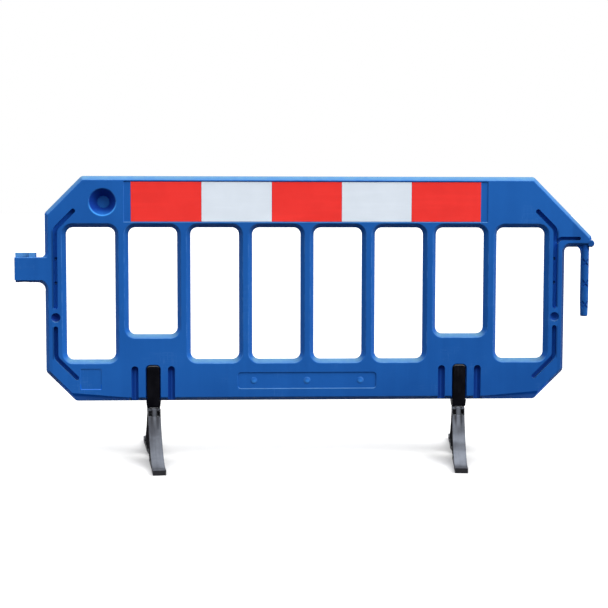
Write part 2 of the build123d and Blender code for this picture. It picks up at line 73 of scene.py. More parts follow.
# Wraps one output socket, so that shader maths is written as plain expressions
class Wire:
    def __init__(self, socket):
        self.socket = socket

    def node(self, kind, settings=None, inputs=None, out=0):  # a new node in the same tree
        made = self.socket.id_data.nodes.new(kind)
        for key, value in (settings or {}).items():
            setattr(made, key, value)
        for key, value in (inputs or {}).items():
            plug(made.inputs[key], value)
        return Wire(made.outputs[out])

    def maths(self, operation, *values):
        return self.node("ShaderNodeMath", {"operation": operation}, dict(enumerate(values)))

    def __add__(self, other):
        return self.maths("ADD", self, other)

    def __radd__(self, other):
        return self.maths("ADD", other, self)

    def __sub__(self, other):
        return self.maths("SUBTRACT", self, other)

    def __rsub__(self, other):
        return self.maths("SUBTRACT", other, self)

    def __mul__(self, other):
        return self.maths("MULTIPLY", self, other)

    def __rmul__(self, other):
        return self.maths("MULTIPLY", other, self)

    def __truediv__(self, other):
        return self.maths("DIVIDE", self, other)

    def __pow__(self, other):
        return self.maths("POWER", self, other)

    def __abs__(self):
        return self.maths("ABSOLUTE", self)

    def fract(self):
        return self.maths("FRACT", self)

    def least(self, other):
        return self.maths("MINIMUM", self, other)

    def most(self, other):
        return self.maths("MAXIMUM", self, other)

    def rise(self, low, high):  # 0 below low, 1 above high, smooth between
        smooth = {"interpolation_type": "SMOOTHSTEP"}
        return self.node("ShaderNodeMapRange", smooth, {0: self, 1: low, 2: high})

    def fall(self, low, high):  # 1 below low, 0 above high
        return 1 - self.rise(low, high)

    def over(self, low, fade):  # 0 up to low, 1 once past its fade
        return self.rise(low, low + fade)

    def under(self, high, fade):  # 1 until its fade starts, 0 from high on
        return self.fall(high - fade, high)

    def within(self, low, high, fade):
        return self.over(low, fade) * self.under(high, fade)

    def parts(self):  # x, y and z of a vector
        split = self.node("ShaderNodeSeparateXYZ", None, {0: self}).socket.node
        return [Wire(output) for output in split.outputs]

    def stretched(self, scale, turn=(0, 0, 0)):  # the same coordinates, scaled and turned
        return self.node("ShaderNodeMapping", None, {"Vector": self, "Scale": scale, "Rotation": turn})

    def noise(self, scale, detail=3.0, rough=0.55):
        inputs = {"Vector": self, "Scale": scale, "Detail": detail, "Roughness": rough}
        return self.node("ShaderNodeTexNoise", None, inputs)

    def clouds(self, scale, detail, rough, low, high):  # patches, 0 where noise is low and 1 where it is high
        return self.noise(scale, detail, rough).rise(low, high)

    def hairlines(self, scale, turn):  # 0 along thin lines, where a stretched noise crosses its middle
        return abs(self.stretched(scale, turn).noise(1.0, 2.0) - 0.5)

    def flecks(self, scale, out=0):  # distance to the nearest fleck, or its own colour as output 1
        return self.node("ShaderNodeTexVoronoi", None, {"Vector": self, "Scale": scale}, out)

    def blend(self, first, second):  # colours mixed by this mask
        return self.node("ShaderNodeMix", {"data_type": "RGBA"}, {0: self, 6: first, 7: second}, 2)


def plug(socket, value):
    if isinstance(value, Wire):
        socket.id_data.links.new(value.socket, socket)
    elif isinstance(value, tuple) and len(value) == 3 and socket.type == "RGBA":
        socket.default_value = (*value, 1)
    else:
        socket.default_value = value


def distance(first, second):  # root of the sum of two squares
    return (first ** 2 + second ** 2) ** 0.5


# A point of a surface: its place, and the way it faces
class Spot:
    def __init__(self, coordinates):
        self.place = Wire(coordinates.outputs["Object"])
        self.x, self.y, self.z = self.place.parts()
        self.nx, self.ny, self.nz = Wire(coordinates.outputs["Normal"]).parts()

    def onRight(self):  # 1 on the right half of the barrier, 0 on the left
        return self.x.over(-broad, 2 * broad)


def startMaterial(name, specular=0.5):
    material = bpy.data.materials.new(name)
    material.use_nodes = True
    nodes = material.node_tree.nodes
    shader = nodes["Principled BSDF"]
    shader.inputs["Specular IOR Level"].default_value = specular
    return material, shader, Spot(nodes.new("ShaderNodeTexCoord"))


def finishMaterial(material, shader, bumps=(), **sockets):  # bumps are (height, metres), finest last
    for key, value in sockets.items():
        plug(shader.inputs[key.replace("_", " ")], value)
    normal = None
    for height, depth in bumps:
        inputs = {"Height": height, "Distance": depth, "Strength": 1.0}
        if normal:
            inputs["Normal"] = normal
        normal = height.node("ShaderNodeBump", None, inputs)
    if normal:
        plug(shader.inputs["Normal"], normal)
    return material


# Lamp dish: painted shade on its upper wall, and painted highlights on its floor and on the lower half of its lip,
# where the sky lights it
dishLook = dict(
    radius=0.048, backY=0.022, lipY=-0.013, fadeY=0.003, lipWidth=0.0045, litBelow=(-0.010, 0.030),
    wall=(0.020, 0.024), upper=(-0.046, -0.020), shading=0.7, floor=(0.018, 0.022), floorShine=0.2,
    shine=(0.045, 0.25, 0.68),
)


def dishMasks(look, at):
    out = distance(at.x - dishX, at.z - dishZ)
    inside = out.under(look["radius"], soft) * at.y.under(look["backY"], look["fadeY"])
    upperWall = inside * out.rise(*look["wall"]) * (at.z - dishZ).rise(*look["upper"])
    lip = abs(out - look["radius"]).fall(0.0, look["lipWidth"]) * at.y.under(look["lipY"], look["fadeY"])
    lit = lip * (dishZ - at.z).rise(*look["litBelow"])
    return inside, upperWall, lit.most(inside * out.fall(*look["floor"]) * look["floorShine"])


# Hook end: painted shade on the throat's side and round the knob, a darker peg and nose, and painted shade in the
# peg's nicks
hookLook = dict(
    sideIn=0.016, sideFade=0.006, sideTop=0.750, sideFacing=(0.2, 0.6), sideDirt=0.9,
    noseOut=0.020, noseDirt=0.2,
    knobOut=0.017, knobZ=0.764, knobRadius=0.0145, knobFrom=(0.002, 0.010), knobDirt=0.54,
    tipRadius=0.013, taper=0.060, rootRise=0.099, pegFade=0.001, pegDirt=0.25, nick=(-0.0020, -0.0006),
)


def hookMasks(look, at):
    taperZ, tipRadius = pegZ - pegLength / 2, look["tipRadius"]
    fromAxis = distance(at.x - linkX, at.y)
    skinRadius = tipRadius + at.z.rise(taperZ - look["taper"], taperZ) * (pegRadius - tipRadius)
    onPeg = fromAxis.under(pegRadius + crisp, look["pegFade"]) * at.z.under(pegZ + look["rootRise"], broad)
    nick = onPeg * (fromAxis - skinRadius).fall(*look["nick"])
    side = at.x.over(endX - look["sideIn"], look["sideFade"]) * at.z.under(look["sideTop"], broad)
    side = side * at.nx.rise(*look["sideFacing"]) * (1 - onPeg)
    fromKnob = distance(at.x - (linkX + look["knobOut"]), at.z - look["knobZ"])
    knob = fromKnob.under(look["knobRadius"], look["pegFade"]) * (at.x - linkX).rise(*look["knobFrom"])
    nose = at.x.over(endX + look["noseOut"], broad) * (1 - onPeg)
    # painted shade on the throat's right-facing side and round the knob's joint
    shadeAndDarkening = (side * look["sideDirt"]).most(knob * look["knobDirt"])
    return onPeg, nick, shadeAndDarkening.most(onPeg * look["pegDirt"]).most(nose * look["noseDirt"])


# End posts: painted light in the upper grooves; painted shade in the lower ones, the dimples, the dents and along
# the outer lips; darker faces
postLook = dict(
    grooveIn=0.0375, run=(-0.0245, 0.0295), runFoot=(0.524, 0.530), runHead=(0.78, 0.80), lowerShade=0.35,
    silt=(0.0136, 0.110, 0.504), silting=0.9, dentDrops=(0.290, 0.376), dentRadius=0.0065, dentDirt=0.9,
    dimpleRise=0.298, dimpleRadius=0.017, dimpleShades=(0.80, 0.25),
    tailFrom=(-0.125, -0.115), tailTo=(-0.041, -0.037), tailTop=0.370, tailShade=0.45,
    lipFrom=(0.0075, 0.0083), lipTo=(0.0105, 0.0145), lipFoot=(0.35, 0.36), lipHead=(0.80, 0.82),
    lipGap=(0.032, 0.038), lipDirt=0.75,
    faceFrom=(-0.027, -0.023), faceHeads=((0.48, 0.52), (0.70, 0.74)), faceDirt=0.15,
)


def postMasks(look, at, sunk, onPeg):
    left, out, fromEnd = 1 - at.onRight(), abs(at.x), at.x - endX
    fromGroove = out - (endX - look["grooveIn"])
    inRun = sunk * fromGroove.within(*look["run"], crisp)
    upper = at.z.rise(*look["runFoot"])
    # painted light: the upper runs of the grooves are lit to a paler blue
    silt = inRun * upper * at.z.fall(*look["runHead"]) * look["silting"]
    fromDimple = distance(fromGroove, at.z - (toeZ + look["dimpleRise"]))
    leftShade, rightShade = look["dimpleShades"]
    dimple = fromDimple.under(look["dimpleRadius"], crisp) * (rightShade + left * (leftShade - rightShade))
    tail = sunk * fromEnd.rise(*look["tailFrom"]) * fromEnd.fall(*look["tailTo"])
    tail = tail * at.z.under(look["tailTop"], broad) * look["tailShade"]
    shade = (inRun * (1 - upper) * left * look["lowerShade"]).most(dimple).most(tail)
    dents = [distance(fromGroove, at.z - (topZ - drop)) for drop in look["dentDrops"]]
    dent = sunk * dents[0].least(dents[1]).under(look["dentRadius"], crisp)
    lip = fromGroove.rise(*look["lipFrom"]) * fromGroove.fall(*look["lipTo"])
    lip = lip * at.z.rise(*look["lipFoot"]) * at.z.fall(*look["lipHead"]) * fromDimple.rise(*look["lipGap"])
    leftHead, bothHeads = look["faceHeads"]
    face = (out - endX).rise(*look["faceFrom"]) * at.z.fall(*bothHeads) * (1 - onPeg)
    face = face * (1 - at.z.rise(*leftHead) * left)
    # painted shade in the dents and along the grooves' outer lips, and a darker face by the outer edge
    shadeAndDarkening = (dent * look["dentDirt"]).most(lip * look["lipDirt"]).most(face * look["faceDirt"])
    return silt, shade, shadeAndDarkening


# Toe board: painted shade in the grooves beside the blocks with a painted highlight along their floors, painted
# highlights on the bosses, end bevels with painted shade at a crease and painted light below it
toeLook = dict(
    grooveOffset=0.0645, grooveHalf=0.0125, grooveRise=0.125, grooveEnd=(0.103, 0.113), grooveShade=0.38,
    endShade=0.3, floorLine=(0.0012, 0.0042), floorPale=0.9, grooveFloor=(0.020, 0.108, 0.50),
    recessHalf=0.2455, recessRises=(0.042, 0.102), recessFade=0.003, recessDepth=0.0028,
    bossSpacing=0.190, bossRise=0.072, bossRadius=0.0125, bossCore=0.3, bossLit=(-0.008, 0.006),
    bossDepth=0.0042, bossWear=0.9, bossTip=(0.042, 0.245, 0.74),
    bevelX=0.63, bevelRise=0.056, bevelFacing=(0.93, 0.98), creaseY=(0.012, 0.020),
    bevelLow=(0.0465, 0.206, 0.80), crease=(0.003, 0.101, 0.55),
)


def sideGrooves(look, at, sunk):
    top = toeZ + look["grooveRise"]
    fromMiddle = abs(abs(abs(at.x) - swivelX) - look["grooveOffset"])
    inGroove = sunk * fromMiddle.under(look["grooveHalf"] + crisp, crisp) * at.z.under(top + soft, soft)
    upperEnd = (at.z - toeZ).rise(*look["grooveEnd"])
    shade = inGroove * (look["grooveShade"] + upperEnd * look["endShade"])
    # the second is a painted highlight along the middle of each groove's floor
    return shade, inGroove * fromMiddle.fall(*look["floorLine"]) * (1 - upperEnd) * look["floorPale"]


def toeRecess(look, at):  # the floor of the long recess
    low, high = [toeZ + rise for rise in look["recessRises"]]
    floor = abs(at.x).under(look["recessHalf"], crisp) * at.z.within(low, high, look["recessFade"])
    return floor * abs(at.y).under(faceY - look["recessDepth"], 2 * hair)


def bossHighlights(look, at):  # x folds at half the spacing, so that one boss stands for all three
    half, bossZ = look["bossSpacing"] / 2, toeZ + look["bossRise"]
    out = distance(abs(abs(abs(at.x) - half) - half), at.z - bossZ)
    tip = out.fall(look["bossRadius"] * look["bossCore"], look["bossRadius"])
    tip = tip * (bossZ - at.z).rise(*look["bossLit"]) * abs(at.y).over(faceY - look["bossDepth"], fine)
    return tip * look["bossWear"]


# Moulded polyethylene: deep blue, streaked along the flow, paler where the sun and rubbing reach it, with a
# painted sheen where it faces up and painted light and shade in its recesses
panelLook = dict(
    deep=(0.0098, 0.078, 0.310), bright=(0.0148, 0.110, 0.404),
    mottles=(3.2, 4.0, 0.55, 0.30, 0.72), mottling=0.3,
    streakScale=(26.0, 26.0, 1.6), streaks=(1.0, 3.0, 0.55, 0.35, 0.70), streaking=0.2,
    sunnedZ=0.62, sunnedSlope=1.8, sunning=0.5,
    crown=(0.83, 0.95), crownPale=0.27, foot=(0.20, 0.36), footDeep=0.3,
    cornerX=(0.60, 0.66), cornerZ=(0.80, 0.86), cornerPale=0.25, recessPale=0.25,
    rim=(0.52, 0.66), face=(0.90, 0.985), rubs=(21.0, 5.0, 0.7, 0.44, 0.62),
    rubbed=(0.07, 0.21, 0.52), rubbing=0.5,
    scuffLines=(((5.0, 5.0, 190.0), (0, 0.35, 0)), ((170.0, 8.0, 6.0), (0, 0.6, 0))),
    scuffWidth=(0.004, 0.016), scuffs=(7.0, 2.0, 0.55, 0.56, 0.68), scuffing=0.22,
    sunk=(0.0130, 0.0015), seamY=0.002, slopeFacing=0.484, slopeFade=(0.03, 0.08),
    grimed=(0.0085, 0.077, 0.40), griming=0.75, dirty=(0.006, 0.036, 0.15), shaded=(0.005, 0.020, 0.20),
    upward=(0.3, 0.8), chalks=(46.0, 4.0, 0.55, 0.3, 0.7), chalkBase=0.75,
    seamward=(0.004, 0.024), seamPale=0.4, chalk=(0.165, 0.31, 0.285), chalking=0.5,
    lugOut=0.042, lugRise=0.0365, lugBack=(0.122, 0.336, 0.58), lugPale=0.6,
    roughness=0.46, roughGains=(0.07, 0.14, 0.10, 0.10), specular=0.02,
    ripple=(13.0, 2.0, 0.4), rippleDepth=0.0009, grain=(1500.0, 2.0, 0.6), grainDepth=0.00012,
)


# From deep to bright, palest along the top and towards the sunned corners
def panelBlue(look, at, mottle):
    streak = at.place.stretched(look["streakScale"]).clouds(*look["streaks"])
    sunned = (0.5 + at.x * (at.z - look["sunnedZ"]) * look["sunnedSlope"]).most(0.0).least(1.0)
    corner = (0 - at.x).rise(*look["cornerX"]) * at.z.rise(*look["cornerZ"])
    faded = at.z.rise(*look["crown"]) * look["crownPale"] - at.z.fall(*look["foot"]) * look["footDeep"]
    faded = faded + corner * look["cornerPale"] + toeRecess(toeLook, at) * look["recessPale"]
    share = mottle * look["mottling"] + streak * look["streaking"] + sunned * look["sunning"] + faded
    return share.blend(look["deep"], look["bright"])


def panelWear(look, at):  # rubbed patches on the rounded rims, and thin crossing scuffs
    rim = abs(at.ny).rise(*look["rim"]) * abs(at.ny).fall(*look["face"])
    first, second = [at.place.hairlines(*line) for line in look["scuffLines"]]
    scuff = first.least(second).fall(*look["scuffWidth"]) * at.place.clouds(*look["scuffs"])
    return rim * at.place.clouds(*look["rubs"]), scuff


def panelMaterial(look):
    material, shader, at = startMaterial("panelPlastic", look["specular"])
    across, facing = abs(at.y), abs(at.ny)
    deepest, shallowest = look["sunk"]
    sunk = across.fall(faceY - deepest, faceY - shallowest) * across.over(look["seamY"], crisp)
    slope = abs(facing - look["slopeFacing"]).fall(*look["slopeFade"])
    bevel = abs(at.x).over(toeLook["bevelX"], soft) * at.z.under(toeZ + toeLook["bevelRise"] + broad, broad)
    inDish, upperDish, litDish = dishMasks(dishLook, at)
    onPeg, nick, hookShadeAndDarkening = hookMasks(hookLook, at)
    silt, postShade, postShadeAndDarkening = postMasks(postLook, at, sunk, onPeg)
    sideShade, floorLine = sideGrooves(toeLook, at, sunk)
    mottle = at.place.clouds(*look["mottles"])
    rub, scuff = panelWear(look, at)
    colour = panelBlue(look, at, mottle)
    colour = (rub * look["rubbing"]).blend(colour, look["rubbed"])
    colour = (scuff * look["scuffing"]).blend(colour, look["rubbed"])
    shadedRecess = sunk * (1 - slope) * (1 - bevel) * (1 - onPeg) * (1 - inDish)
    shadedRecess = shadedRecess.most(upperDish).most(nick)  # painted shade in the recesses, on the dish's upper wall and in the peg's nicks, where nothing rubs
    colour = (shadedRecess * (look["griming"] + mottle * (1 - look["griming"]))).blend(colour, look["grimed"])
    # painted light in the posts' upper grooves
    colour = silt.blend(colour, postLook["silt"])
    # painted shade on the hook's side, the knob, the dents and the groove lips; a darker tone on the peg, the nose
    # and the post faces
    colour = hookShadeAndDarkening.most(postShadeAndDarkening).blend(colour, look["dirty"])
    colour = (upperDish * dishLook["shading"]).most(postShade).most(sideShade).blend(colour, look["shaded"])
    # painted highlight along the side grooves' floors
    colour = floorLine.blend(colour, toeLook["grooveFloor"])
    # painted highlights on the lower halves of the bosses
    colour = bossHighlights(toeLook, at).blend(colour, toeLook["bossTip"])
    # painted shade along the end bevels' crease, fading into painted light lower down
    bevelShadeAndLight = across.rise(*toeLook["creaseY"]).blend(toeLook["bevelLow"], toeLook["crease"])
    colour = (bevel * facing.fall(*toeLook["bevelFacing"])).blend(colour, bevelShadeAndLight)
    chalkAndSheen = look["chalkBase"] + at.place.clouds(*look["chalks"]) * (1 - look["chalkBase"])
    chalkAndSheen = chalkAndSheen * at.nz.rise(*look["upward"]) * (1 - shadedRecess.most(inDish))  # the sun chalks what faces up, and a painted sheen lights it
    chalkAndSheen = chalkAndSheen * (1 - across.rise(*look["seamward"]) * look["seamPale"])  # most along the parting line
    colour = (chalkAndSheen * look["chalking"]).blend(colour, look["chalk"])
    colour = litDish.blend(colour, dishLook["shine"])
    # painted light on the back of the lug's sleeve, above the socket
    lugBack = at.x.under(socketX + look["lugOut"], crisp) * at.z.over(socketZ + look["lugRise"], crisp)
    colour = (lugBack * look["lugPale"]).blend(colour, look["lugBack"])
    rough = look["roughness"]
    for mask, gain in zip((mottle, rub, scuff, chalkAndSheen), look["roughGains"]):
        rough = rough + mask * gain
    bumps = [(at.place.noise(*look[key]), look[key + "Depth"]) for key in ("ripple", "grain")]
    return finishMaterial(material, shader, bumps, Base_Color=colour, Roughness=rough)


# Reflective sheeting: glossy film over a honeycomb of sealed cells, clouded, smeared and a little grimy
sheetingLook = dict(
    red=((0.76, 0.017, 0.012), (0.86, 0.026, 0.020)), white=((0.65, 0.715, 0.79), (0.71, 0.775, 0.855)),
    cell=0.0042, cellWall=0.16, wallShade=0.14, cellDepth=0.00006,
    clouds=(9.0, 4.0, 0.55, 0.3, 0.7), clouding=0.55, cloudDepth=0.0002,
    smearScale=(3.0, 3.0, 34.0), smearTurn=(0, 0.12, 0), smears=(1.0, 3.0, 0.55, 0.42, 0.75), smearing=0.45,
    spots=(60.0, 5.0, 0.7, 0.6, 0.8), grime=(0.10, 0.10, 0.11), spotting=0.07,
    roughness=0.30, cloudRough=0.08, spotRough=0.2, specular=0.2,
    coat=0.25, coatRoughness=0.12, coatLoss=0.6,
)


def sheetingMaterial(look, name):
    dark, light = look[name]
    material, shader, at = startMaterial("sheeting_" + name, look["specular"])
    u, v = at.x / look["cell"], at.z / (look["cell"] * math.sqrt(3))
    near = [((u + shift).fract() - 0.5, ((v + shift).fract() - 0.5) * math.sqrt(3)) for shift in (0.0, 0.5)]
    first, second = [distance(*away) for away in near]  # to the nearest cell centres of the two sets of rows
    wall = abs(first - second).fall(0.0, look["cellWall"])
    cloud = at.place.clouds(*look["clouds"])
    smear = at.place.stretched(look["smearScale"], look["smearTurn"]).clouds(*look["smears"])
    colour = (cloud * look["clouding"] + smear * look["smearing"]).blend(dark, light)
    colour = (wall * look["wallShade"]).blend(colour, dark)
    spots = at.place.clouds(*look["spots"])
    colour = (spots * look["spotting"]).blend(colour, look["grime"])
    rough = look["roughness"] + cloud * look["cloudRough"] + spots * look["spotRough"]
    shader.inputs["Coat Roughness"].default_value = look["coatRoughness"]
    bumps = [(cloud, look["cloudDepth"]), (1 - wall, look["cellDepth"])]
    return finishMaterial(material, shader, bumps, Base_Color=colour, Roughness=rough,
                          Coat_Weight=look["coat"] * (1 - spots * look["coatLoss"]))


# Black glass-filled plastic of the pivot blocks, scratched, with dust and a painted highlight where it faces up
blockLook = dict(
    black=(0.0018, 0.0018, 0.0030), grey=(0.0045, 0.0045, 0.0065), clouds=(30.0, 4.0, 0.55, 0.35, 0.75),
    scratchLines=((260.0, 30.0, 9.0), (0, 0.25, 0)), scratchWidth=(0.004, 0.02),
    scratches=(18.0, 3.0, 0.55, 0.5, 0.65), scratching=0.04,
    upward=(0.25, 0.75), dusts=(90.0, 3.0, 0.55, 0.3, 0.7), dustBase=0.6,
    dust=(0.20, 0.20, 0.21), dusting=0.8,
    roughness=0.40, cloudRough=0.12, dustRough=0.2, specular=0.02, grain=(1300.0, 2.0), grainDepth=0.00014,
)


def blockMaterial(look):
    material, shader, at = startMaterial("blockPlastic", look["specular"])
    cloud = at.place.clouds(*look["clouds"])
    colour = cloud.blend(look["black"], look["grey"])
    scratch = at.place.hairlines(*look["scratchLines"]).fall(*look["scratchWidth"])
    scratch = scratch * at.place.clouds(*look["scratches"])
    patches = look["dustBase"] + at.place.clouds(*look["dusts"]) * (1 - look["dustBase"])
    # dust and a painted highlight on what faces up
    dustAndHighlight = at.nz.rise(*look["upward"]) * patches
    colour = (scratch * look["scratching"] + dustAndHighlight * look["dusting"]).blend(colour, look["dust"])
    rough = look["roughness"] + cloud * look["cloudRough"] + dustAndHighlight * look["dustRough"]
    bumps = [(at.place.noise(*look["grain"]), look["grainDepth"])]
    return finishMaterial(material, shader, bumps, Base_Color=colour, Roughness=rough)


# Recycled black plastic of the feet: flecked, with road dust in lengthwise streaks and a painted sheen where a
# face looks up
footLook = dict(
    base=(0.017, 0.017, 0.020), fleck=(0.036, 0.036, 0.042), fleckScale=420.0, fleckSize=(0.12, 0.4),
    fleckPatches=(160.0, 1.0, 0.55, 0.5, 0.62), halfWidth=0.022,
    thin=(0.046, 0.049, 0.058), thick=(0.150, 0.164, 0.192), upward=(0.12, 0.62),
    streakScale=(85.0, 5.0, 4.0), streakShift=7.0, streaks=(1.0, 3.0, 0.55, 0.3, 0.7), streaking=0.24,
    clouds=(17.0, 4.0, 0.6, 0.32, 0.68), clouding=0.3, cloudDepth=0.0006,
    dustLeast=0.10, dustRight=0.2, lower=(0.02, 0.14), dustLower=0.5,
    washX=0.0105, washWidth=(0.0015, 0.0055), washRun=(0.050, 0.090), washing=0.45, washBase=0.55,
    spine=(0.002, 0.006), spineDust=0.35, rim=(0.0026, 0.0006), rimLoss=0.3,
    wipedAt=0.158, heapedAt=0.122, patchReach=(0.008, 0.030), patchDust=0.28,
    crestAt=0.220, crestReach=(0.012, 0.045), crestDusts=(0.10, 0.16),
    toe=(0.245, 0.345), toeLosses=(0.60, 0.85),
    plateAlong=(0.030, 0.036), plateZ=(0.145, 0.153), plateDusts=(0.08, 0.34),
    plateFacing=(0.4, 0.8), plateLain=0.85,
    soilX=0.0070, soilLow=0.1502, soilHigh=0.1740, soilFacing=(0.5, 0.8), soiling=0.7,
    flankFacing=(0.75, 0.92), flankDust=0.9,
    pocketX=(0.0080, 0.0194), pocketZ=(0.1515, 0.1722), pocketAlong=0.0450, inside=(0.22, 0.23, 0.25),
    siltZ=0.0165, silt=(0.085, 0.088, 0.076), silting=0.75,
    roughness=0.66, dustRough=0.16, specular=0.12, grain=(700.0, 3.0), grainDepth=0.0003,
)


def footPlace(at, right):  # where across and along its foot a point is, as if the foot stood square
    sines = [math.sin(math.radians(turn)) for turn in restTurns]
    sine, cosine = right * (sines[1] - sines[0]) + sines[0], math.cos(math.radians(restTurns[0]))
    fromAxis = at.x - (right * 2 - 1) * swivelX
    return fromAxis * cosine + at.y * sine, at.y * cosine - fromAxis * sine


# Share of thick dust and painted sheen: more low down, on the right foot and in heaps, less where rain has washed
# it
def dustAndSheenDepth(look, at, right, side, ahead, washed, cloud):
    across, along = abs(side), abs(ahead)
    pick = lambda pair: right * (pair[1] - pair[0]) + pair[0]  # one value for each foot, left and right
    scaleX, scaleY, scaleZ = look["streakScale"]
    scaled = {0: side * scaleX, 1: ahead * scaleY, 2: at.z * scaleZ + right * look["streakShift"]}
    streak = at.x.node("ShaderNodeCombineXYZ", None, scaled).clouds(*look["streaks"])
    depth = at.z.fall(*look["lower"]) * look["dustLower"] + right * look["dustRight"] + look["dustLeast"]
    depth = depth + (streak - 0.5) * look["streaking"] + (cloud - 0.5) * look["clouding"]
    spine = across.fall(*look["spine"]) * along.fall(*look["washRun"])
    depth = depth - washed * look["washing"] + spine * look["spineDust"]
    rimStart, rimFull = [look["halfWidth"] - inset for inset in look["rim"]]
    depth = depth - across.rise(rimStart, rimFull) * look["rimLoss"]
    wiped, heaped = [abs(along - look[key]).fall(*look["patchReach"]) for key in ("wipedAt", "heapedAt")]
    crest = abs(along - look["crestAt"]).fall(*look["crestReach"])
    depth = depth + right * (heaped - wiped) * look["patchDust"] + crest * pick(look["crestDusts"])
    depth = depth - along.rise(*look["toe"]) * pick(look["toeLosses"])
    return depth, pick(look["plateDusts"])


def footPocket(look, at, across, along):  # the walls inside the two square pockets
    (inner, outer), (low, high) = look["pocketX"], look["pocketZ"]
    pocket = across.within(inner - hair, outer + hair, hair) * at.z.within(low - hair, high + hair, hair)
    return pocket * along.under(look["pocketAlong"] + hair, 2 * hair)


def footMaterial(look):
    material, shader, at = startMaterial("footPlastic", look["specular"])
    right, upward, endOn = at.onRight(), at.nz.rise(*look["upward"]), abs(at.ny)
    side, ahead = footPlace(at, right)
    across, along = abs(side), abs(ahead)
    fleck = at.place.flecks(look["fleckScale"]).fall(*look["fleckSize"])
    colour = (fleck * at.place.clouds(*look["fleckPatches"])).blend(look["base"], look["fleck"])
    cloud = at.place.clouds(*look["clouds"])
    washed = abs(across - look["washX"]).fall(*look["washWidth"])  # two streaks, down from the pockets
    washed = washed * along.fall(*look["washRun"])
    depth, plateDust = dustAndSheenDepth(look, at, right, side, ahead, washed, cloud)
    plate = along.rise(*look["plateAlong"]) * at.z.rise(*look["plateZ"])
    depth = depth + (1 - upward) * plate * plateDust
    # dust and a painted sheen on what faces up, and on the plates in front of the pockets
    dustAndSheen = upward.most(plate * endOn.rise(*look["plateFacing"]) * look["plateLain"])
    colour = dustAndSheen.blend(colour, depth.most(0.0).blend(look["thin"], look["thick"]))
    # painted shade: a dark rim round the pockets, widening their shade
    shadedRim = across.over(look["soilX"] - fine, 2 * fine) * at.z.over(look["soilLow"] - fine, 2 * fine)
    shadedRim = shadedRim * at.z.under(look["soilHigh"], fine) * endOn.rise(*look["soilFacing"])
    colour = (washed * upward * look["washBase"]).most(shadedRim * look["soiling"]).blend(colour, look["base"])
    # painted light on the flanks, which face away from the key lamp
    colour = (abs(at.nx).rise(*look["flankFacing"]) * look["flankDust"]).blend(colour, look["thin"])
    # painted light on the pocket walls, which sit in shade
    colour = footPocket(look, at, across, along).blend(colour, look["inside"])
    silted = upward * at.z.under(look["siltZ"] + hair, 2 * hair)
    colour = (silted * look["silting"]).blend(colour, look["silt"])
    bumps = [(cloud, look["cloudDepth"]), (at.place.noise(*look["grain"]), look["grainDepth"])]
    return finishMaterial(material, shader, bumps, Base_Color=colour,
                          Roughness=look["roughness"] + dustAndSheen * look["dustRough"])


# Zinc-plated steel: cool spangle, dulled in patches, a breath of rust
steelLook = dict(
    zinc=(0.58, 0.60, 0.63), dull=(0.40, 0.41, 0.42), clouds=(140.0, 4.0, 0.55, 0.35, 0.7),
    rust=(0.20, 0.085, 0.035), bites=(330.0, 5.0, 0.75, 0.60, 0.72), rusting=0.5, rustMetal=0.8,
    roughness=0.32, cloudRough=0.16, rustRough=0.3, spangleScale=520.0, spangleRough=0.05,
    grain=(900.0, 2.0), grainDepth=0.00003,
)


def steelMaterial(look):
    material, shader, at = startMaterial("zincSteel")
    cloud = at.place.clouds(*look["clouds"])
    colour = cloud.blend(look["zinc"], look["dull"])
    bite = at.place.clouds(*look["bites"])
    colour = (bite * look["rusting"]).blend(colour, look["rust"])
    spangle = at.place.flecks(look["spangleScale"], 1).parts()[0]
    rough = look["roughness"] + cloud * look["cloudRough"] + bite * look["rustRough"]
    rough = rough + spangle * look["spangleRough"]
    bumps = [(at.place.noise(*look["grain"]), look["grainDepth"])]
    return finishMaterial(material, shader, bumps, Base_Color=colour, Roughness=rough,
                          Metallic=1 - bite * look["rustMetal"])


panelPlastic = panelMaterial(panelLook)
zincSteel = steelMaterial(steelLook)
slotFinish = {
    "panel_plastic": panelPlastic, "steel": zincSteel,
    "block_plastic": blockMaterial(blockLook), "foot_plastic": footMaterial(footLook),
    "sheeting_red": sheetingMaterial(sheetingLook, "red"),
    "sheeting_white": sheetingMaterial(sheetingLook, "white"),
}
nodeSlot = {part["node"]: part["material_slot"] for part in frame["record"]["subparts"]}
for nodeName, node in frame["nodes"].items():
    node.data.materials.clear()
    node.data.materials.append(slotFinish[nodeSlot[nodeName]])
print("finishes:", len(slotFinish))


def addPiece(name, points, faces, material, smooth=True):
    mesh = bpy.data.meshes.new(name)
    mesh.from_pydata(points.reshape(-1, 3).tolist(), [], faces)
    mesh.polygons.foreach_set("use_smooth", [smooth] * len(faces))
    mesh.materials.append(material)
    piece = bpy.data.objects.new(name, mesh)
    bpy.context.scene.collection.objects.link(piece)
    return piece


# Grids of points, (rows, columns, 3), become one mesh: rows join to rows, and columns close into rings
def skin(name, grids, material, closeRows=False):
    points, faces, start = [], [], 0
    for grid in grids:
        rows, columns = grid.shape[:2]
        index = start + np.arange(rows * columns).reshape(rows, columns)
        here = index if closeRows else index[:-1]
        there = np.roll(index, -1, 0) if closeRows else index[1:]
        quads = np.stack([here, np.roll(here, -1, 1), np.roll(there, -1, 1), there], -1).reshape(-1, 4)
        faces += quads.tolist()
        if not closeRows:
            faces += [index[0, ::-1].tolist(), index[-1].tolist()]
        points.append(grid.reshape(-1, 3))
        start += rows * columns
    return addPiece(name, np.concatenate(points), faces, material)


def settle(piece, body, slot, *nodes):  # rides on its body and stands for the plain solids
    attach(piece, body)
    if nodes:
        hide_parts(*nodes)
    return piece


def sharpen(piece, degrees):  # flat where faces meet at more than this angle
    piece.data.set_sharp_from_angle(angle=math.radians(degrees))


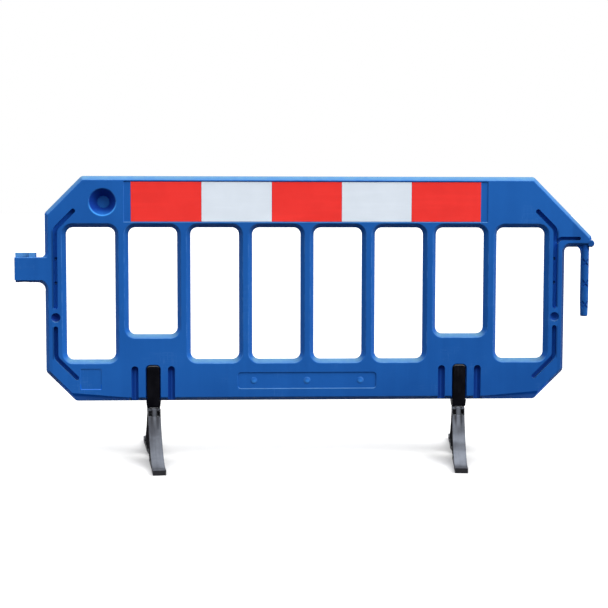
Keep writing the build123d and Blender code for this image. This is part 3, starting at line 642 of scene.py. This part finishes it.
fastener = dict(
    around=96, flats=0.019, crownShare=0.94, capShare=0.80, coneDegrees=30, coneDrop=0.00209,
    headHeight=0.0075, headSteps=9, relief=0.0004, reliefShare=0.98,
    shank=0.0059, pitch=0.00175, pitchSteps=10, threadDepth=0.00085, threadLength=0.022, threadLead=0.0005,
    point=0.0015,
    nutSteps=8, collar=0.0034, collarRadius=0.0086, collarRound=0.0012, collarSteps=7, bore=0.0061,
    washerSteps=32, washerPower=0.4, hardEdge=32, washerEdge=50,
)
turn = np.linspace(0, 2 * math.pi, fastener["around"], endpoint=False)


# Radius of a hexagon in each direction: half its flats over the cosine of the angle to the nearest flat
def hexRadius(flats):
    away = (turn + math.pi / 6) % (math.pi / 3) - math.pi / 6
    return flats / 2 / np.cos(away)


# A hexagon inside a cone: the lesser of its radius and the crown's plus the drop over the cone's tangent
def conedHexagon(drop):
    crown = fastener["flats"] / 2 * fastener["crownShare"]
    cone = crown + drop / math.tan(math.radians(fastener["coneDegrees"]))
    return np.minimum(hexRadius(fastener["flats"]), cone[:, None])


def rings(*radii):  # a row for each radius, the same all the way round
    return np.repeat(np.hstack(radii)[:, None], turn.size, 1)


# Rows of radius and height round an upright axis: each point is centre + radius in its direction
def turned(radius, height, centre):
    rows = np.broadcast_to(height[:, None], radius.shape)
    return np.stack([centre[0] + radius * np.cos(turn), centre[1] + radius * np.sin(turn), rows], -1)


# Bolt: a coned hexagon, a plain shank, then a thread whose radius is a triangle wave of height less turn
def boltGrid(low, high, centre):
    hexagon, shank = hexRadius(fastener["flats"]), fastener["shank"]
    headLow, threadTop = high - fastener["headHeight"], low + fastener["threadLength"]
    drop = np.linspace(0, fastener["coneDrop"], fastener["headSteps"])
    steps = int(fastener["threadLength"] / fastener["pitch"] * fastener["pitchSteps"])
    threadZ = np.linspace(threadTop, low, steps)
    phase = (threadZ[:, None] / fastener["pitch"] - turn[None, :] / (2 * math.pi)) % 1
    wave = np.abs(phase * 2 - 1)
    chamfer = 1 - np.clip((threadZ - low) / fastener["point"], 0, 1)[:, None]  # the end is chamfered
    thread = shank - fastener["threadDepth"] * np.maximum(wave, chamfer)
    radius = np.concatenate([
        rings(fastener["flats"] / 2 * fastener["capShare"]), conedHexagon(drop),
        np.stack([hexagon, hexagon * fastener["reliefShare"]]), rings(shank, shank), thread])
    height = np.concatenate([
        [high], high - drop, [headLow + fastener["relief"], headLow],
        [headLow, threadTop + fastener["threadLead"]], threadZ])
    return turned(radius, height, centre)[::-1]


# Locking nut: a closed ring of rows up the bore, over a round collar, down the coned hexagon and under
def nutGrid(low, high, centre):
    shoulder, bend, bore = high - fastener["collar"], fastener["collarRound"], fastener["bore"]
    swing = np.linspace(0, math.pi / 2, fastener["collarSteps"])
    drop = np.linspace(0, fastener["coneDrop"], fastener["nutSteps"])
    collar = fastener["collarRadius"] - bend + bend * np.sin(swing)
    radius = np.concatenate([
        rings(bore, bore, collar, fastener["collarRadius"]), conedHexagon(drop), conedHexagon(drop[::-1])])
    height = np.concatenate([
        [low, high], high - bend + bend * np.cos(swing), [shoulder], shoulder - drop, low + drop[::-1]])
    return turned(radius, height, centre)


# Washer: a rounded rectangle of a section, a superellipse of power 5, turned round the axis
def washerGrid(low, high, outer, centre):
    swing = np.linspace(0, 2 * math.pi, fastener["washerSteps"], endpoint=False)[::-1]
    squared = lambda value: np.sign(value) * np.abs(value) ** fastener["washerPower"]
    radius = (outer + fastener["bore"]) / 2 + (outer - fastener["bore"]) / 2 * squared(np.cos(swing))
    height = (low + high) / 2 + (high - low) / 2 * squared(np.sin(swing))
    return turned(rings(radius), height, centre)


def addFastener(name, grid, node, closeRows, edgeDegrees):
    piece = skin(name, [grid], zincSteel, closeRows)
    sharpen(settle(piece, "barrier", "steel", node), edgeDegrees)


for hand in hands:
    low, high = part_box(hand + "_pivot_bolt")
    centre = ((low.x + high.x) / 2, (low.y + high.y) / 2)
    bolt = boltGrid(low.z, high.z, centre)
    addFastener(hand + "_threaded_bolt", bolt, hand + "_pivot_bolt", False, fastener["hardEdge"])
    low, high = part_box(hand + "_lock_nut")
    nut = nutGrid(low.z, high.z, centre)
    addFastener(hand + "_collar_nut", nut, hand + "_lock_nut", True, fastener["hardEdge"])
    for washer in ("swivel_washer", "bolt_washer"):
        low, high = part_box(f"{hand}_{washer}")
        ring = washerGrid(low.z, high.z, (high.x - low.x) / 2, centre)
        addFastener(f"{hand}_soft_edged_{washer}", ring, f"{hand}_{washer}", True, fastener["washerEdge"])
print("swivel fasteners: bolts, nuts and washers")

# Block screws: rows along Y from the tip to a rounded head with a hexagon socket sunk in it
screw = dict(
    shank=0.003, tip=0.0012, tipShare=0.5, head=0.006, headHeight=0.004, rim=0.0008, rimSteps=6,
    socket=0.005, socketDepth=0.0024, floorShare=0.97, mouthDepth=0.0002, mouthShare=1.06,
)


def screwGrid(tipY, topY, x, z):
    seat, shank, rim = topY - screw["headHeight"], screw["shank"], screw["rim"]
    swing = np.linspace(0, math.pi / 2, screw["rimSteps"])
    rimRadius, socket = screw["head"] - rim + rim * np.cos(swing), hexRadius(screw["socket"])
    radius = np.concatenate([
        rings(shank * screw["tipShare"], shank, shank, screw["head"], rimRadius),
        np.stack([socket * screw["mouthShare"], socket, socket * screw["floorShare"]])])
    along = np.concatenate([
        [tipY, tipY + screw["tip"], seat, seat], topY - rim + rim * np.sin(swing),
        [topY, topY - screw["mouthDepth"], topY - screw["socketDepth"]]])
    rows = np.broadcast_to(along[:, None], radius.shape)
    return np.stack([x + radius * np.sin(turn), rows, z + radius * np.cos(turn)], -1)


for hand in hands:
    low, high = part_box(hand + "_block_screws")
    middle = (low.x + high.x) / 2
    grids = [screwGrid(low.y, high.y, middle, z) for z in (low.z + screw["head"], high.z - screw["head"])]
    pair = skin(hand + "_socket_screws", grids, zincSteel)
    sharpen(settle(pair, "barrier", "steel", hand + "_block_screws"), fastener["hardEdge"])
print("block screws: sockets cut")

# Sheeting: a thin plate whose front swells from its cut edge as a quarter ellipse, with the slow wave,
# a product of two sines, of film laid by hand
film = dict(
    edge=0.0012, edgeSteps=(0, 0.08, 0.3, 0.65), flatFrom=1.2, columns=60, rows=36, hardEdge=60,
    wave=0.00012, waveFade=0.01, waveX=(41, -9), waveZ=(17, 53),
)


def spread(low, high, count):  # places close together at both edges and even between them
    steps, flat = film["edge"] * np.array(film["edgeSteps"]), film["edge"] * film["flatFrom"]
    return np.concatenate([low + steps, np.linspace(low + flat, high - flat, count), high - steps[::-1]])


def filmGrid(low, high, faceSign):
    x, z = np.meshgrid(spread(low.x, high.x, film["columns"]), spread(low.z, high.z, film["rows"]))
    inset = np.minimum(np.minimum(x - low.x, high.x - x), np.minimum(z - low.z, high.z - z))
    swell = np.sqrt(1 - (1 - np.clip(inset / film["edge"], 0, 1)) ** 2)
    first, second = [np.sin(x * alongX + z * alongZ) for alongX, alongZ in zip(film["waveX"], film["waveZ"])]
    wave = film["wave"] * (first * second - 1) * np.clip(inset / film["waveFade"], 0, 1)
    back, front = (high.y, low.y) if faceSign < 0 else (low.y, high.y)
    return np.stack([x, back + (front - back) * swell + faceSign * wave, z], -1)


def filmPiece(name, grid, material, faceSign):  # front grid, and one flat face behind it on the same rim
    rows, columns = grid.shape[:2]
    index = np.arange(rows * columns).reshape(rows, columns)
    quads = np.stack([index[:-1, :-1], index[:-1, 1:], index[1:, 1:], index[1:, :-1]], -1).reshape(-1, 4)
    rim = np.concatenate([index[0, :-1], index[:-1, -1], index[-1, :0:-1], index[:0:-1, 0]])
    quads, rim = (quads, rim[::-1]) if faceSign < 0 else (quads[:, ::-1], rim)
    piece = addPiece(name, grid, quads.tolist() + [rim.tolist()], material)
    sharpen(piece, film["hardEdge"])
    return piece


for face, faceSign in (("front", -1), ("rear", 1)):
    for tile in ("red_left", "white_left", "red_middle", "white_right", "red_right"):
        plain = f"{face}_tile_{tile}"
        grid = filmGrid(*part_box(plain), faceSign)
        piece = filmPiece(f"{face}_film_{tile}", grid, slotFinish[nodeSlot[plain]], faceSign)
        settle(piece, "barrier", nodeSlot[plain], plain)
print("sheeting: ten films laid")

# Parting line: a fine ridge of flash carried along the outline and round every window
flash = dict(width=0.0011, height=0.0007, cornerSteps=9, sectionSteps=7, toeSteps=12, blockClear=0.002)
outline = dict(
    topCut=0.130, toeCut=0.104, corner=0.018, armZ=0.752, throatRound=0.016, noseTop=0.788, noseRound=0.018,
    knobLead=0.007, aboveNeck=0.733, belowLug=0.597,
)
window = dict(
    count=8, short=(1, 6), post=0.07305, bar=0.0457, corner=0.025,
    headDrop=0.179, sillRise=0.147, shortRise=0.0895,
)


# Corners rounded exactly: each is a rational curve of its start, corner and end, weighted by (1 - t) squared,
# 2 t (1 - t) times the sine of half the corner's angle, and t squared
def roundedPath(corners, radii, closed):
    corners, radii = np.array(corners, float), np.array(radii, float)
    before, after = np.roll(corners, 1, 0) - corners, np.roll(corners, -1, 0) - corners
    before /= np.linalg.norm(before, axis=1)[:, None]
    after /= np.linalg.norm(after, axis=1)[:, None]
    half = np.arccos(np.clip((before * after).sum(1), -1, 1)) / 2
    reach = (radii / np.tan(half))[:, None]
    t = np.linspace(0, 1, flash["cornerSteps"])
    middle = 2 * np.sin(half)[:, None] * t * (1 - t)
    weights = np.stack(np.broadcast_arrays((1 - t) ** 2, middle, t ** 2), -1)
    anchors = np.stack([corners + before * reach, corners, corners + after * reach], 1)
    curve = np.einsum("ctk,ckd->ctd", weights, anchors) / weights.sum(-1)[..., None]
    if closed:
        return curve.reshape(-1, 2)
    return np.concatenate([corners[:1], curve[1:-1].reshape(-1, 2), corners[-1:]])


# Ridge section: half an ellipse standing outwards from the path, its foot sunk a little below the surface
def ridge(path, closed):
    ahead, behind = np.roll(path, -1, 0), np.roll(path, 1, 0)
    if not closed:
        ahead[-1], behind[0] = path[-1], path[0]
    along = ahead - behind
    along /= np.linalg.norm(along, axis=1)[:, None]
    out = np.stack([along[:, 1], -along[:, 0]], 1)
    swing = np.linspace(0, math.pi, flash["sectionSteps"])
    lift = np.concatenate([[-flash["height"]], flash["height"] * np.sin(swing), [-flash["height"]]])
    side = np.concatenate([[-flash["width"]], -flash["width"] * np.cos(swing), [flash["width"]]])
    base = path[:, None, :] + out[:, None, :] * lift[None, :, None]
    across = np.broadcast_to(side[None, :], base.shape[:2])
    return np.stack([base[..., 0], across, base[..., 1]], -1)


def outlineRuns(edge):  # the flash stops beside each block, and at the lug
    blockLow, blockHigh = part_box("right_pivot_block")
    innerX, outerX = blockLow.x - flash["blockClear"], blockHigh.x + flash["blockClear"]
    noseX, corner, nose = panelHigh.x - edge["knobLead"], edge["corner"], edge["noseRound"]
    upperRun = roundedPath(  # from the right block up over the hook and the top, down to the neck of the lug
        [(outerX, toeZ), (endX - edge["toeCut"], toeZ), (endX, toeZ + edge["toeCut"]), (endX, edge["armZ"]),
         (noseX, edge["armZ"]), (noseX, edge["noseTop"]), (noseX - (topZ - edge["noseTop"]), topZ),
         (-endX + edge["topCut"], topZ), (-endX, topZ - edge["topCut"]), (-endX, edge["aboveNeck"])],
        [0, corner, corner, edge["throatRound"], nose, nose, corner, corner, corner, 0], False)
    leftRun = roundedPath(  # from the lug down to the left block
        [(-endX, edge["belowLug"]), (-endX, toeZ + edge["toeCut"]), (-endX + edge["toeCut"], toeZ),
         (-outerX, toeZ)], [0, corner, corner, 0], False)
    toeX = np.linspace(-innerX, innerX, flash["toeSteps"])
    return upperRun, leftRun, np.stack([toeX, np.full_like(toeX, toeZ)], 1)


def windowLoops(look):
    gaps, head = look["count"] - 1, topZ - look["headDrop"]
    width = (2 * endX - 2 * look["post"] - gaps * look["bar"]) / look["count"]
    for place in range(look["count"]):
        left = (place - gaps / 2) * (width + look["bar"]) - width / 2
        sill = toeZ + look["sillRise"] + (look["shortRise"] if place in look["short"] else 0)
        corners = [(left, sill), (left, head), (left + width, head), (left + width, sill)]
        yield roundedPath(corners, [look["corner"]] * len(corners), True)


outerRidges = [ridge(run, False) for run in outlineRuns(outline)]
settle(skin("outer_parting_line", outerRidges, panelPlastic), "barrier", "panel_plastic")
windowRidges = [ridge(loop, True) for loop in windowLoops(window)]
settle(skin("window_parting_lines", windowRidges, panelPlastic, closeRows=True), "barrier", "panel_plastic")
print("parting line: outline and", window["count"], "windows")

# Floor, light and camera
studio = dict(
    floorReach=60, floor=(0.56, 0.56, 0.56), bounce=(0.06, 0.06, 0.065), floorRoughness=0.9,
    zenith=3.95, horizon=0.275, key=2.48, keyAngle=40, keyTowards=(-0.67, 0.46, -0.58),
)


def seenDirectly(tree):  # 1 for what the camera sees, straight, reflected or through something clear
    rays = tree.nodes.new("ShaderNodeLightPath").outputs
    camera, glossy, clear = [Wire(rays[f"Is {kind} Ray"]) for kind in ("Camera", "Glossy", "Transmission")]
    return camera.most(glossy).most(clear)


floorMaterial, floorShader = startMaterial("paleFloor", 0.0)[:2]
floorColour = seenDirectly(floorMaterial.node_tree).blend(studio["bounce"], studio["floor"])
finishMaterial(floorMaterial, floorShader, Base_Color=floorColour, Roughness=studio["floorRoughness"])
square = np.array([(-1, -1, 0), (1, -1, 0), (1, 1, 0), (-1, 1, 0)]) * studio["floorReach"]
addPiece("floor", square, [(0, 1, 2, 3)], floorMaterial, smooth=False)

world = bpy.data.worlds.new("studio")
world.use_nodes = True
bpy.context.scene.world = world
sky = world.node_tree.nodes
height = Wire(sky.new("ShaderNodeTexCoord").outputs["Generated"]).parts()[2]
overhead = height.most(0.0) ** 2  # most of the light comes from overhead
ambient = overhead * (studio["zenith"] - studio["horizon"]) + studio["horizon"]
seen = seenDirectly(world.node_tree)
plug(sky["Background"].inputs["Strength"], seen + (1 - seen) * ambient)
sky["Background"].inputs["Color"].default_value = (1, 1, 1, 1)


def addSun(name, strength, angle, towards):  # a broad soft lamp, shining along this direction
    lamp = bpy.data.lights.new(name, "SUN")
    lamp.energy = strength
    lamp.angle = math.radians(angle)
    lampObject = bpy.data.objects.new(name, lamp)
    x, y, z = towards
    lampObject.rotation_euler = (math.atan2(math.hypot(x, y), -z), 0, math.atan2(-x, y))
    bpy.context.scene.collection.objects.link(lampObject)


addSun("keySun", studio["key"], studio["keyAngle"], studio["keyTowards"])

lens = dict(place=(-0.255, -4.977, 0.936), pitch=4.46, roll=0.11, yaw=2.805, focal=82.9, sensor=36.0)
camera = bpy.data.cameras.new("camera")
camera.lens = lens["focal"]
camera.sensor_width = lens["sensor"]
cameraObject = bpy.data.objects.new("camera", camera)
cameraObject.location = lens["place"]
turns = (90 - lens["pitch"], -lens["roll"], -lens["yaw"])
cameraObject.rotation_euler = [math.radians(angle) for angle in turns]
bpy.context.scene.collection.objects.link(cameraObject)
bpy.context.scene.camera = cameraObject
bpy.context.scene.view_settings.view_transform = "Standard"
print("studio: floor, world, sun and camera")
